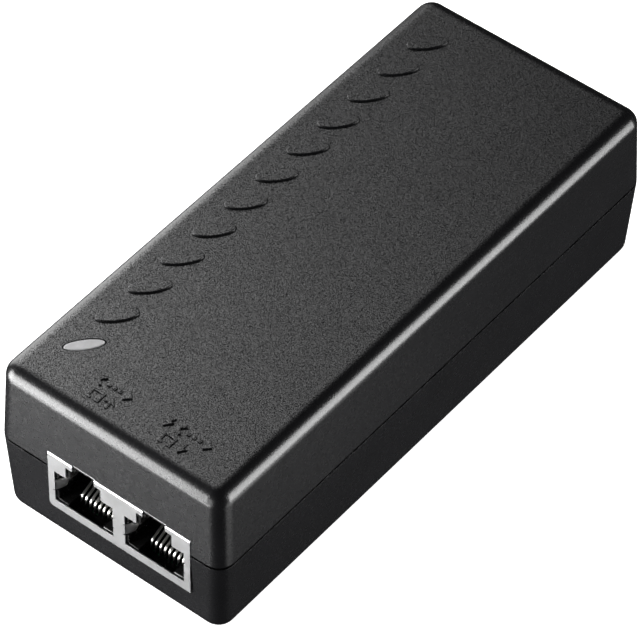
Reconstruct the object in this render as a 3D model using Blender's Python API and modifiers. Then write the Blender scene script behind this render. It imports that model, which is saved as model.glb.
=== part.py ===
"""Power-over-Ethernet injector: two plastic shells around a power supply board.

The twin network jack faces -Y, the mains inlet faces +Y, and the case stands on z = 0.
Its origin is the middle of its underside. Lengths are in metres, written as millimetres x MM.
"""

import math

import bmesh
import bpy
from mathutils import Matrix, Vector

MM = 0.001
GAP = 0.3 * MM            # clearance between pieces that rest on each other

# Case
WIDTH = 50.7 * MM
LENGTH = 121.6 * MM
HEIGHT = 35.7 * MM        # to the flat top, without the raised ovals
SEAM_Z = 18.05 * MM
WALL = 2.0 * MM
TOP_INSET = 0.72 * MM     # how far the moulding draft pulls in each side of the top
BASE_INSET = 0.9 * MM
CORNER_R = 3.35 * MM
TOP_EDGE_R = 3.0 * MM
BASE_EDGE_R = 2.7 * MM
TONGUE_OUT = 1.15 * MM    # the lower shell's tongue starts this far inside the wall's outer face
TONGUE_UP = 1.5 * MM
REBATE_OUT = 0.9 * MM
POST_R = 2.6 * MM
POST_X = 18.5 * MM
POST_Y = (-40.0 * MM, 32.0 * MM)
RIB_SIZE = (2.4 * MM, 1.6 * MM)

# Row of raised ovals along the left edge of the top; the lens takes the place nearest the jacks
OVAL_X = -16.15 * MM
LENS_Y = -47.4 * MM
OVAL_PITCH = 8.735 * MM
OVAL_COUNT = 11
OVAL_TURN = math.radians(49.2)
OVAL_HALF = (4.0 * MM, 1.55 * MM)
OVAL_RISE = 0.4 * MM
LENS_HALF = (3.6 * MM, 1.1 * MM)
LENS_GAP = 0.3 * MM
LENS_RISE = 0.1 * MM
LENS_FLANGE = 1.1 * MM    # how far the flange inside the roof stands out beyond the lens
PIPE_R = (1.5 * MM, 1.9 * MM)
PIPE_LOW = 13.2 * MM
LAMP_R = 1.5 * MM
LAMP_RIM_R = 1.9 * MM
LAMP_RIM = 1.0 * MM
LAMP_TOP = 12.8 * MM

# Plain symbols over the ports, in two rows; outlines in millimetres about each symbol's middle
SYMBOL_Y = -53.3 * MM
SYMBOL_RISE = 0.35 * MM
UPPER_ROW = 1.55 * MM
LOWER_ROW = -1.6 * MM
DOT_PITCH = 1.2 * MM
POWER_SHIFT = 1.7 * MM    # the network sign moves aside for the bolt
BOLT_X = -3.7 * MM
SOCKET_X = -1.6 * MM
ARROW_X = 1.5 * MM
CHEVRON = [(3.9, 0.0), (2.65, 1.25), (2.2, 0.9), (3.05, 0.0), (2.2, -0.9), (2.65, -1.25)]
DOT = [(-0.32, -0.32), (0.32, -0.32), (0.32, 0.32), (-0.32, 0.32)]
BOLT = [(0.5, 1.35), (-0.8, -0.15), (-0.1, -0.2), (-0.55, -1.35), (0.8, 0.2), (0.1, 0.25)]
ARROW = [(-0.26, -1.25), (0.26, -1.25), (0.26, 0.1), (1.15, -0.2), (0.0, 1.3), (-1.15, -0.2),
         (-0.26, 0.1)]
SOCKET = [(-0.45, -1.15), (-1.35, -1.15), (-1.35, 1.15), (1.35, 1.15), (1.35, -1.15),
          (0.45, -1.15), (0.45, -0.75), (0.92, -0.75), (0.92, 0.75), (-0.92, 0.75),
          (-0.92, -0.75), (-0.45, -0.75)]

# Board
BOARD = (44.4 * MM, 115.2 * MM, 1.6 * MM)
BOARD_CORNER = 2.0 * MM
BOARD_TOP = 7.7 * MM
PART_Z = BOARD_TOP + GAP  # underside of everything that stands on the board
FILM_INSET = 1.2 * MM     # how far the insulating sheet's edges lie inside the board's
FILM = 0.4 * MM

# Twin jack; depths are measured back from the case's front face
FRONT_Y = -LENGTH / 2
JACK_X = 2.45 * MM
PORT_PITCH = 15.875 * MM
PORTS = {"in": JACK_X - PORT_PITCH / 2, "out": JACK_X + PORT_PITCH / 2}
SHIELD_W = 31.9 * MM
SHIELD_Z = (8.0 * MM, 21.75 * MM)
SHIELD_DEPTH = 17.0 * MM
SHEET = 0.25 * MM
SHIELD_GAP = 0.2 * MM
SHIELD_TOP_GAP = 0.35 * MM
NOTCH_DEPTH = 0.33 * MM   # how far back the latch notch runs into the shield's top
PORT_W = 13.2 * MM
PORT_Z = (10.0 * MM, 17.5 * MM)
STEP_W = 7.9 * MM
STEP_TOP = 20.3 * MM
NOTCH_W = 5.0 * MM
SPRING_Z = (12.4 * MM, 15.0 * MM)
SPRING_IN = 0.75 * MM
SPRING_DEPTH = 3.0 * MM
CAVITY_W = 12.3 * MM
CAVITY_Z = (10.15 * MM, 17.15 * MM)
LATCH_W = 6.6 * MM
LATCH_TOP = 20.1 * MM
LATCH_SLOT_W = 4.2 * MM
LATCH_SLOT_TOP = 21.0 * MM
CAVITY_DEPTH = 12.8 * MM
COMB_HALF = 3.95 * MM
WELL_FLOOR = 0.4 * MM
RELIEF_OUT = 0.75 * MM    # room in the housing beside and behind a spring
RELIEF_BACK = 0.6 * MM

# Contact wires
CONTACTS = 8
CONTACT_PITCH = 1.016 * MM
CONTACT_W = 0.46 * MM
CONTACT_T = 0.3 * MM
CONTACT_DEPTH = 3.4 * MM  # depth of the upright leg's centreline
BEND_R = 1.2 * MM
BEND_Z = 9.24 * MM        # height of the bend's centre
BEND_STEPS = 6
ARM_RISE = math.radians(25)
ARM_LENGTH = 7.9 * MM

# Mains inlet, standard three-pin appliance pattern
INLET_W = 27.4 * MM
INLET_Z = (8.0 * MM, 27.8 * MM)
INLET_DEPTH = 22.0 * MM
INLET_WALL = 1.5 * MM
INLET_CAVITY_DEPTH = 17.0 * MM
INLET_CHAMFER = 5.0 * MM
PIN_SPACING = 7.0 * MM
PIN_SIZE = (2.0 * MM, 4.0 * MM)
PIN_Z = 15.9 * MM
EARTH_PIN_Z = 19.9 * MM
PIN_TIP_IN = 1.6 * MM
PIN_TAPER = 0.5 * MM
PIN_GAP = 0.15 * MM
TAIL_Y = 36.4 * MM
TAIL_W = 1.2 * MM
PINS = {
    "line_pin": (-PIN_SPACING, PIN_Z),
    "neutral_pin": (PIN_SPACING, PIN_Z),
    "earth_pin": (0.0, EARTH_PIN_Z),
}

# Power transformer: an E-shaped core around a bobbin; heights are above PART_Z
TRANSFORMER = (-1.0 * MM, -8.0 * MM)
CORE_HALF = (13.0 * MM, 4.5 * MM)
CORE_Z = (3.0 * MM, 22.0 * MM)
CORE_EDGE = 0.4 * MM
CORE_WINDOW_X = 6.2 * MM
CORE_WINDOW_HALF = 3.0 * MM
CORE_WINDOW_Z = (6.4 * MM, 18.6 * MM)
BOBBIN_HALF = (8.9 * MM, 10.0 * MM)
BOBBIN_Z = (6.7 * MM, 18.3 * MM)
BOBBIN_EDGE = 1.2 * MM
BOBBIN_BORE = (3.5 * MM, 4.8 * MM)
BOBBIN_FOOT_X = 8.5 * MM
BOBBIN_FOOT_Y = 7.5 * MM
BOBBIN_FOOT_HALF = 2.0 * MM
BOBBIN_FOOT_TOP = 8.0 * MM

# Mains filter choke: an upright ring with a winding on each side
CHOKE = (9.4 * MM, 30.5 * MM)
CHOKE_Z = 9.0 * MM        # its middle above PART_Z
CHOKE_CORE = (3.6 * MM, 6.2 * MM, 5.0 * MM)      # inner radius, outer radius, depth
CHOKE_WINDING = (2.6 * MM, 7.4 * MM, 8.0 * MM)
CHOKE_SPACE = (3.3 * MM, 6.5 * MM, 5.6 * MM)
CHOKE_SPLIT = 1.4 * MM

# Heat sinks and the power devices that lean on them
SINK_X = 17.6 * MM
SINK_HALF = 1.0 * MM
SINK_FOOT = (3.0 * MM, 1.5 * MM)
SINK_TOP = 20.0 * MM
SINKS = {"output_heat_sink": (-18.0 * MM, 22.0 * MM), "primary_heat_sink": (13.0 * MM, 20.0 * MM)}
DEVICES = {"output_rectifier": -22.0 * MM, "switching_transistor": 11.0 * MM}
DEVICE_HALF = 5.0 * MM
DEVICE_DEPTH = 4.4 * MM
DEVICE_Z = (4.0 * MM, 12.5 * MM)
DEVICE_EDGE = 0.3 * MM
TAB_DEPTH = 1.5 * MM
TAB_Z = (11.0 * MM, 18.0 * MM)
LEAD_PITCH = 2.54 * MM
LEAD_DEPTH = (2.9 * MM, 2.4 * MM)
LEAD_HALF = 0.4 * MM
LEAD_TOP = 5.0 * MM

# Electrolytic capacitors: middle, radius, height; then the shape all of them share
CANS = {
    "output_capacitor_1": ((-14.5 * MM, -33.0 * MM), 5.0 * MM, 20.0 * MM),
    "output_capacitor_2": ((-15.5 * MM, -21.5 * MM), 5.0 * MM, 20.0 * MM),
    "bulk_capacitor": ((-3.5 * MM, 13.5 * MM), 8.0 * MM, 24.0 * MM),
}
CAN_ROLL = 0.5 * MM
CAN_DISH = 0.2 * MM
CAN_CRIMP = 0.5 * MM
CAN_CRIMP_Z = (2.4 * MM, 1.9 * MM, 1.4 * MM)

# Box-shaped parts on the board: low corner, high corner in x and y, height, edge, material
BLOCKS = {
    "data_transformer": ((-6.0, -41.0), (12.0, -29.0), 6.0, 0.3, "moulding"),
    "optocoupler": ((-21.0, -9.0), (-14.6, -4.4), 3.5, 0.3, "moulding"),
    "bridge_rectifier": ((-21.0, 6.0), (-17.0, 21.0), 12.0, 0.5, "moulding"),
    "x_capacitor": ((-16.5, 25.0), (1.0, 34.0), 15.0, 0.5, "film_capacitor"),
    "fuse": ((-20.5, 40.0), (-16.0, 49.0), 8.0, 0.6, "fuse"),
}

# Disc capacitor between the primary and secondary sides
DISC = (18.5 * MM, -1.5 * MM)
DISC_R = 4.2 * MM
DISC_T = 3.4 * MM
DISC_EDGE = 0.8 * MM

PARTS = "poe_injector"
CUTTERS = "cutters"


def clear_scene():
    for old in list(bpy.data.objects):
        bpy.data.objects.remove(old, do_unlink=True)


def collection(name):
    made = bpy.data.collections.new(name)
    bpy.context.scene.collection.children.link(made)
    return made


def material(name, colour, roughness=0.5, metallic=0.0):
    mat = bpy.data.materials.new(name)
    mat.use_nodes = True
    shader = mat.node_tree.nodes["Principled BSDF"]
    shader.inputs["Base Color"].default_value = (*colour, 1.0)
    shader.inputs["Roughness"].default_value = roughness
    shader.inputs["Metallic"].default_value = metallic
    return mat


def add_object(name, mesh, mat=None):
    """Link a mesh as a part, or as a cutter when it has no material."""
    made = bpy.data.objects.new(name, mesh)
    if mat is None:
        cutters.objects.link(made)
        made.hide_render = True
        made.display_type = "WIRE"
    else:
        parts.objects.link(made)
        mesh.materials.append(mat)
    return made


def from_bmesh(name, bm, mat=None):
    bmesh.ops.recalc_face_normals(bm, faces=bm.faces)
    mesh = bpy.data.meshes.new(name)
    bm.to_mesh(mesh)
    bm.free()
    return add_object(name, mesh, mat)


def box_bmesh(low, high):
    bm = bmesh.new()
    bmesh.ops.create_cube(bm, size=1.0)
    size = Vector(high) - Vector(low)
    middle = (Vector(high) + Vector(low)) / 2
    bmesh.ops.scale(bm, vec=size, verts=bm.verts)
    bmesh.ops.translate(bm, vec=middle, verts=bm.verts)
    return bm


def box(name, low, high, mat=None):
    return from_bmesh(name, box_bmesh(low, high), mat)


def soft_box(name, low, high, radius, mat):
    """A box with all its edges cut off by a small flat bevel."""
    bm = box_bmesh(low, high)
    bmesh.ops.bevel(bm, geom=bm.edges[:], offset=radius, segments=1, affect="EDGES")
    return from_bmesh(name, bm, mat)


def cylinder(name, centre, radius, z_low, z_high, mat=None, top_radius=None, steps=24):
    bm = bmesh.new()
    top = radius if top_radius is None else top_radius
    height = z_high - z_low
    bmesh.ops.create_cone(
        bm, cap_ends=True, segments=steps, radius1=radius, radius2=top, depth=height)
    bmesh.ops.translate(bm, vec=(centre[0], centre[1], z_low + height / 2), verts=bm.verts)
    made = from_bmesh(name, bm, mat)
    smooth(made)
    return made


def oval(name, centre, half, z_low, z_high, mat=None, steps=24):
    """An upright oval prism, turned the way the row of ovals lies."""
    bm = bmesh.new()
    bmesh.ops.create_cone(
        bm, cap_ends=True, segments=steps, radius1=1.0, radius2=1.0, depth=z_high - z_low)
    bmesh.ops.scale(bm, vec=(half[0], half[1], 1.0), verts=bm.verts)
    bmesh.ops.rotate(bm, cent=(0, 0, 0), matrix=Matrix.Rotation(OVAL_TURN, 3, "Z"), verts=bm.verts)
    bmesh.ops.translate(bm, vec=(centre[0], centre[1], (z_low + z_high) / 2), verts=bm.verts)
    return from_bmesh(name, bm, mat)


def outline(name, points, thickness, matrix, mat=None):
    """A flat closed outline given thickness both ways from its plane, then placed by matrix."""
    curve = bpy.data.curves.new(name, "CURVE")
    curve.dimensions = "2D"
    curve.fill_mode = "BOTH"
    curve.extrude = thickness / 2
    spline = curve.splines.new("POLY")
    spline.points.add(len(points) - 1)
    for slot, (u, v) in zip(spline.points, points):
        slot.co = (u, v, 0.0, 1.0)
    spline.use_cyclic_u = True
    holder = bpy.data.objects.new(name + "_outline", curve)
    parts.objects.link(holder)
    holder.matrix_world = matrix
    bpy.context.view_layer.update()
    mesh = bpy.data.meshes.new_from_object(holder.evaluated_get(bpy.context.evaluated_depsgraph_get()))
    bpy.data.objects.remove(holder, do_unlink=True)
    bm = bmesh.new()
    bm.from_mesh(mesh)
    bmesh.ops.remove_doubles(bm, verts=bm.verts, dist=0.001 * MM)
    bmesh.ops.transform(bm, matrix=matrix, verts=bm.verts)
    bmesh.ops.recalc_face_normals(bm, faces=bm.faces)
    bm.to_mesh(mesh)
    bm.free()
    mesh.name = name
    mesh.materials.clear()
    return add_object(name, mesh, mat)


def facing_front(y):
    """Puts an outline drawn in x and z into the upright plane at y."""
    return Matrix.Translation((0, y, 0)) @ Matrix.Rotation(math.radians(90), 4, "X")


def facing_side(x):
    """Puts an outline drawn in y and z into the upright plane at x."""
    turn = Matrix(((0, 0, 1, 0), (1, 0, 0, 0), (0, 1, 0, 0), (0, 0, 0, 1)))
    return Matrix.Translation((x, 0, 0)) @ turn


def turned(name, centre, profile, mat, steps=24):
    """A turned piece: its profile of (radius, height) runs down its outer side."""
    mesh = bpy.data.meshes.new(name)
    points = [(radius, 0.0, z) for radius, z in profile]
    mesh.from_pydata(points, [(i, i + 1) for i in range(len(points) - 1)], [])
    made = add_object(name, mesh, mat)
    made.location = (centre[0], centre[1], 0.0)
    screw = made.modifiers.new("turn", "SCREW")
    screw.steps = steps
    screw.render_steps = steps
    screw.use_merge_vertices = True
    screw.merge_threshold = 0.01 * MM
    screw.use_smooth_shade = True
    return made


def smooth(made, angle=35):
    made.data.shade_smooth()
    made.data.set_sharp_from_angle(angle=math.radians(angle))


def cut(target, cutter):
    boolean(target, cutter, "DIFFERENCE")


def join(target, piece):
    boolean(target, piece, "UNION")


def boolean(target, other, operation):
    step = target.modifiers.new(other.name, "BOOLEAN")
    step.object = other
    step.operation = operation
    step.solver = "EXACT"


def drafted_block(name, half_x, half_y, z_seam, z_far, inset, corner, edge, mat=None):
    """A block that narrows from its seam face to its far face, with round corners and far edges."""
    low, high = min(z_seam, z_far), max(z_seam, z_far)
    bm = box_bmesh((-half_x, -half_y, low), (half_x, half_y, high))
    for vert in bm.verts:
        if abs(vert.co.z - z_far) < GAP:
            vert.co.x -= math.copysign(inset, vert.co.x)
            vert.co.y -= math.copysign(inset, vert.co.y)
    upright = [e for e in bm.edges if abs(e.verts[0].co.z - e.verts[1].co.z) > GAP]
    bmesh.ops.bevel(bm, geom=upright, offset=corner, segments=6, profile=0.5, affect="EDGES")
    far = [e for e in bm.edges if all(abs(v.co.z - z_far) < 0.01 * MM for v in e.verts)]
    if edge > 0:
        bmesh.ops.bevel(bm, geom=far, offset=edge, segments=5, profile=0.5, affect="EDGES")
    return from_bmesh(name, bm, mat)


def jack_window():
    """The hole that both shells share for the twin jack."""
    half = SHIELD_W / 2 + SHIELD_GAP
    return box("jack_window", (JACK_X - half, FRONT_Y - WALL, SHIELD_Z[0] - SHIELD_GAP),
               (JACK_X + half, FRONT_Y + 2 * WALL, SHIELD_Z[1] + SHIELD_TOP_GAP))


def inlet_window():
    half = INLET_W / 2 + SHIELD_GAP
    return box("inlet_window", (-half, -FRONT_Y - 2 * WALL, INLET_Z[0] - SHIELD_GAP),
               (half, -FRONT_Y + WALL, INLET_Z[1] + SHIELD_GAP))


def upper_case(mat, jack_hole, inlet_hole):
    seam = SEAM_Z + GAP / 2
    shell = drafted_block("upper_case", WIDTH / 2, LENGTH / 2, seam, HEIGHT,
                          TOP_INSET, CORNER_R, TOP_EDGE_R, mat)
    cavity = drafted_block("upper_cavity", WIDTH / 2 - WALL, LENGTH / 2 - WALL, seam - 2 * MM,
                           HEIGHT - WALL, TOP_INSET, CORNER_R - WALL, 1.0 * MM)
    rebate = drafted_block("upper_rebate", WIDTH / 2 - REBATE_OUT, LENGTH / 2 - REBATE_OUT,
                           seam - 2 * MM, SEAM_Z + TONGUE_UP + GAP, 0.0,
                           CORNER_R - REBATE_OUT, 0.0)
    cut(shell, cavity)
    cut(shell, rebate)
    for side in (-1, 1):
        for number, y in enumerate(POST_Y):
            low = (side * POST_X - RIB_SIZE[0] / 2, y - RIB_SIZE[1] / 2, PART_Z)
            high = (side * POST_X + RIB_SIZE[0] / 2, y + RIB_SIZE[1] / 2, HEIGHT - WALL / 2)
            join(shell, box(f"hold_down_{side}_{number}", low, high))
    cut(shell, jack_hole)
    cut(shell, inlet_hole)
    slot_half = (LENS_HALF[0] + LENS_GAP, LENS_HALF[1] + LENS_GAP)
    cut(shell, oval("lens_slot", (OVAL_X, LENS_Y), slot_half, HEIGHT - 2 * WALL, HEIGHT + WALL))
    for number in range(1, OVAL_COUNT + 1):
        centre = (OVAL_X, LENS_Y + number * OVAL_PITCH)
        join(shell, oval(f"oval_{number}", centre, OVAL_HALF, HEIGHT - WALL / 2,
                         HEIGHT + OVAL_RISE, steps=20))
    port_symbol(shell, "in", PORTS["in"], 1, with_power=False)
    port_symbol(shell, "out", PORTS["out"], -1, with_power=True)
    smooth(shell)
    return shell


def raised_shape(shell, name, shape, x, y, side=1, way=1):
    """Stands a flat outline up from the top of the case; side and way mirror it."""
    points = [(x + side * u * MM, y + way * v * MM) for u, v in shape]
    join(shell, outline(name, points, 2 * SYMBOL_RISE, Matrix.Translation((0, 0, HEIGHT))))


def port_symbol(shell, name, x, way, with_power):
    """Plain symbols over a port: a network sign, for power a bolt, a socket, an arrow in or out."""
    upper, lower = SYMBOL_Y + UPPER_ROW, SYMBOL_Y + LOWER_ROW
    centre = x + (POWER_SHIFT if with_power else 0.0)
    for side in (-1, 1):
        raised_shape(shell, f"{name}_chevron_{side}", CHEVRON, centre, upper, side=side)
    for number in (-1, 0, 1):
        raised_shape(shell, f"{name}_dot_{number}", DOT, centre + number * DOT_PITCH, upper)
    if with_power:
        raised_shape(shell, f"{name}_bolt", BOLT, x + BOLT_X, upper)
    raised_shape(shell, f"{name}_socket", SOCKET, x + SOCKET_X, lower)
    raised_shape(shell, f"{name}_arrow", ARROW, x + ARROW_X, lower, way=way)


def lower_case(mat, jack_hole, inlet_hole):
    seam = SEAM_Z - GAP / 2
    shell = drafted_block("lower_case", WIDTH / 2, LENGTH / 2, seam, 0.0,
                          BASE_INSET, CORNER_R, BASE_EDGE_R, mat)
    tongue = drafted_block("lower_tongue", WIDTH / 2 - TONGUE_OUT, LENGTH / 2 - TONGUE_OUT,
                           seam - WALL, SEAM_Z + TONGUE_UP, 0.0, CORNER_R - TONGUE_OUT, 0.0)
    cavity = drafted_block("lower_cavity", WIDTH / 2 - WALL, LENGTH / 2 - WALL,
                           seam + 2 * WALL, WALL, BASE_INSET, CORNER_R - WALL, 1.0 * MM)
    join(shell, tongue)
    cut(shell, cavity)
    for side in (-1, 1):
        for number, y in enumerate(POST_Y):
            join(shell, cylinder(f"post_{side}_{number}", (side * POST_X, y), POST_R,
                                 WALL / 2, BOARD_TOP - BOARD[2] - GAP, steps=16))
    cut(shell, jack_hole)
    cut(shell, inlet_hole)
    smooth(shell)
    return shell


def insulating_sheet(mat):
    half_x, half_y = BOARD[0] / 2 - FILM_INSET, BOARD[1] / 2 - FILM_INSET
    low = WALL + GAP
    sheet = box("insulating_sheet", (-half_x, -half_y, low), (half_x, half_y, low + FILM), mat)
    for side in (-1, 1):
        for number, y in enumerate(POST_Y):
            hole = cylinder(f"sheet_hole_{side}_{number}", (side * POST_X, y), POST_R + GAP,
                            0.0, 2 * WALL, steps=16)
            cut(sheet, hole)
    return sheet


def main_board(mat):
    half_x, half_y = BOARD[0] / 2, BOARD[1] / 2
    bm = box_bmesh((-half_x, -half_y, BOARD_TOP - BOARD[2]), (half_x, half_y, BOARD_TOP))
    corners = [e for e in bm.edges if abs(e.verts[0].co.z - e.verts[1].co.z) > GAP]
    bmesh.ops.bevel(bm, geom=corners, offset=BOARD_CORNER, segments=3, affect="EDGES")
    return from_bmesh("main_board", bm, mat)


def led_light_pipe(mat):
    """The lens in the top, its flange inside the roof, and the pipe down to the lamp."""
    roof = HEIGHT - WALL
    centre = (OVAL_X, LENS_Y)
    under = roof - WALL / 2
    lens = oval("led_light_pipe", centre, LENS_HALF, under, HEIGHT + LENS_RISE, mat)
    flange = (LENS_HALF[0] + LENS_FLANGE, LENS_HALF[1] + LENS_FLANGE)
    join(lens, oval("lens_flange", centre, flange, under - GAP, roof - GAP))
    join(lens, cylinder("pipe", centre, PIPE_R[0], PIPE_LOW, under, top_radius=PIPE_R[1], steps=16))
    return lens


def status_led(mat):
    """The lamp under the pipe: a dome on a round body with a rim at its foot."""
    centre_z = LAMP_TOP - LAMP_R
    dome = [(LAMP_R * math.cos(a), centre_z + LAMP_R * math.sin(a))
            for a in (math.radians(60), math.radians(30), 0.0)]
    rim = [(LAMP_R, PART_Z + LAMP_RIM), (LAMP_RIM_R, PART_Z + LAMP_RIM), (LAMP_RIM_R, PART_Z)]
    profile = [(0.0, LAMP_TOP)] + dome + rim + [(0.0, PART_Z)]
    return turned("status_led", (OVAL_X, LENS_Y), profile, mat, steps=16)


def port_outline(x, width, low, high, step_w, step_top, notch_w, notch_top):
    """A network port seen from the front: the plug's window with the two-step latch notch."""
    half = [(width / 2, low), (width / 2, high), (step_w / 2, high), (step_w / 2, step_top),
            (notch_w / 2, step_top), (notch_w / 2, notch_top)]
    right = [(x + u, z) for u, z in half]
    left = [(x - u, z) for u, z in reversed(half)]
    return right + left


def ground_spring(name, port_x, side):
    """A spring of the shield's sheet that bends back into a port from its side edge."""
    edge = PORT_W / 2
    reach = SPRING_IN
    outer = [(edge + 0.4 * MM, 0.0), (edge, 0.0), (edge - 0.45 * reach, 0.3 * MM),
             (edge - 0.8 * reach, 1.1 * MM), (edge - reach, 2.0 * MM),
             (edge - reach + 0.1 * MM, SPRING_DEPTH)]
    inner = [(u + SHEET, d + 0.1 * MM) for u, d in reversed(outer[3:])]
    inner += [(edge - 0.3 * MM, 0.5 * MM), (edge, SHEET), (edge + 0.4 * MM, SHEET)]
    points = [(port_x + side * u, FRONT_Y + d) for u, d in outer + inner]
    middle = (SPRING_Z[0] + SPRING_Z[1]) / 2
    height = SPRING_Z[1] - SPRING_Z[0] - 0.3 * MM
    return outline(name, points, height, Matrix.Translation((0, 0, middle)))


def jack_shield(mat):
    """A folded sheet box, open below, with a window and two grounding springs at each port."""
    half = SHIELD_W / 2
    low, high = SHIELD_Z
    shield = box("jack_shield", (JACK_X - half, FRONT_Y, low),
                 (JACK_X + half, FRONT_Y + SHIELD_DEPTH, high), mat)
    hollow = box("shield_hollow", (JACK_X - half + SHEET, FRONT_Y + SHEET, low - 1 * MM),
                 (JACK_X + half - SHEET, FRONT_Y + SHIELD_DEPTH - SHEET, high - SHEET))
    cut(shield, hollow)
    for name, x in PORTS.items():
        window = port_outline(x, PORT_W, *PORT_Z, STEP_W, STEP_TOP, NOTCH_W, high + 1 * MM)
        cut(shield, outline(f"window_{name}", window, 2 * NOTCH_DEPTH, facing_front(FRONT_Y)))
        half = PORT_W / 2 + SHEET
        slots = box(f"spring_slots_{name}", (x - half, FRONT_Y - 1 * MM, SPRING_Z[0]),
                    (x + half, FRONT_Y + 1 * MM, SPRING_Z[1]))
        cut(shield, slots)
        join(shield, ground_spring(f"spring_{name}_left", x, -1))
        join(shield, ground_spring(f"spring_{name}_right", x, 1))
    return shield


def jack_housing(mat):
    """The moulded body behind the shield, with a cavity and a contact well at each port."""
    front = FRONT_Y + SHEET + SHIELD_GAP
    half = SHIELD_W / 2 - SHEET - SHIELD_GAP
    high = SHIELD_Z[1] - SHEET - SHIELD_GAP
    low = PART_Z + 0.1 * MM
    housing = box("jack_housing", (JACK_X - half, front, low),
                  (JACK_X + half, FRONT_Y + SHIELD_DEPTH - SHEET - SHIELD_GAP, high), mat)
    depth = 2 * (CAVITY_DEPTH - SHEET)
    for name, x in PORTS.items():
        cavity = port_outline(x, CAVITY_W, *CAVITY_Z, LATCH_W, LATCH_TOP,
                              LATCH_SLOT_W, LATCH_SLOT_TOP)
        cut(housing, outline(f"cavity_{name}", cavity, depth, facing_front(FRONT_Y + SHEET)))
        well_low = low + WELL_FLOOR
        cut(housing, box(f"contact_well_{name}", (x - COMB_HALF, front - 1 * MM, well_low),
                         (x + COMB_HALF, FRONT_Y + CAVITY_DEPTH - 0.3 * MM, CAVITY_Z[0] + 0.5 * MM)))
        cut(housing, box(f"foot_slot_{name}",
                         (x - COMB_HALF + 0.1 * MM, FRONT_Y + CONTACT_DEPTH - 0.6 * MM, low - 1 * MM),
                         (x + COMB_HALF - 0.1 * MM, FRONT_Y + CONTACT_DEPTH + 0.7 * MM,
                          well_low + 0.2 * MM)))
        relief = PORT_W / 2 + RELIEF_OUT
        cut(housing, box(f"spring_relief_{name}", (x - relief, front - 1 * MM, SPRING_Z[0] - GAP),
                         (x + relief, FRONT_Y + SPRING_DEPTH + RELIEF_BACK, SPRING_Z[1] + GAP)))
    return housing


def contact_outline():
    """Side view of a contact wire in depth and height: foot, upright leg, front bend, sloping arm."""
    half = CONTACT_T / 2
    centre = (CONTACT_DEPTH + BEND_R, BEND_Z)
    end_angle = math.pi / 2 + ARM_RISE
    angles = [math.pi + (end_angle - math.pi) * i / BEND_STEPS for i in range(BEND_STEPS + 1)]
    along = Vector((math.cos(ARM_RISE), math.sin(ARM_RISE)))
    sides = []
    for offset in (half, -half):
        radius = BEND_R + offset
        bend = [(centre[0] + radius * math.cos(a), centre[1] + radius * math.sin(a)) for a in angles]
        tip = (bend[-1][0] + along.x * ARM_LENGTH, bend[-1][1] + along.y * ARM_LENGTH)
        foot = (CONTACT_DEPTH - offset, PART_Z)
        sides.append([foot] + bend + [tip])
    return sides[0] + sides[1][::-1]


def contacts(mat):
    """Sixteen spring wires, each one with its origin at its foot, where it bends."""
    shape = contact_outline()
    foot = Vector((CONTACT_DEPTH, PART_Z))
    local = [(depth - foot.x, height - foot.y) for depth, height in shape]
    for name, x in PORTS.items():
        for number in range(1, CONTACTS + 1):
            made = outline(f"contact_{name}_{number}", local, CONTACT_W, facing_side(0.0), mat)
            offset = (number - (CONTACTS + 1) / 2) * CONTACT_PITCH
            made.location = (x + offset, FRONT_Y + foot.x, foot.y)


def inlet_outline(half_w, low, high, chamfer):
    return [(-half_w, low), (half_w, low), (half_w, high - chamfer), (half_w - chamfer, high),
            (-half_w + chamfer, high), (-half_w, high - chamfer)]


def inlet_body(mat):
    back = LENGTH / 2
    half = INLET_W / 2
    low, high = INLET_Z
    body = outline("inlet_body", inlet_outline(half, low, high, 0.6 * MM), INLET_DEPTH,
                   facing_front(back - INLET_DEPTH / 2), mat)
    wall = INLET_WALL
    mouth = inlet_outline(half - wall, low + wall, high - wall, INLET_CHAMFER)
    cut(body, outline("inlet_mouth", mouth, 2 * INLET_CAVITY_DEPTH, facing_front(back)))
    for name, (x, z) in PINS.items():
        half_x, half_z = PIN_SIZE[0] / 2 + PIN_GAP, PIN_SIZE[1] / 2 + PIN_GAP
        cut(body, box(f"hole_{name}", (x - half_x, back - INLET_DEPTH - 1 * MM, z - half_z),
                      (x + half_x, back - 10 * MM, z + half_z)))
    return body


def inlet_pins(mat):
    """Flat blades that run out of the inlet's back and turn down to the board."""
    for name, (x, z) in PINS.items():
        tip = LENGTH / 2 - PIN_TIP_IN
        low, high = z - PIN_SIZE[1] / 2, z + PIN_SIZE[1] / 2
        points = [(TAIL_Y, PART_Z), (TAIL_Y + TAIL_W, PART_Z), (TAIL_Y + TAIL_W, low),
                  (tip - PIN_TAPER, low), (tip, low + PIN_TAPER), (tip, high - PIN_TAPER),
                  (tip - PIN_TAPER, high), (TAIL_Y, high)]
        outline(name, points, PIN_SIZE[0], facing_side(x), mat)


def standing_can(name, centre, radius, height, mat):
    """An electrolytic capacitor: a can with a rolled top rim and a crimp above its bung."""
    low, high = PART_Z, PART_Z + height
    above, neck, below = (low + z for z in CAN_CRIMP_Z)
    dish = high - CAN_DISH
    profile = [(0.0, dish), (radius - 1.2 * CAN_ROLL, dish), (radius - CAN_ROLL, high),
               (radius, high - CAN_ROLL), (radius, above), (radius - CAN_CRIMP, neck),
               (radius, below), (radius, low), (0.0, low)]
    return turned(name, centre, profile, mat)


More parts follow.
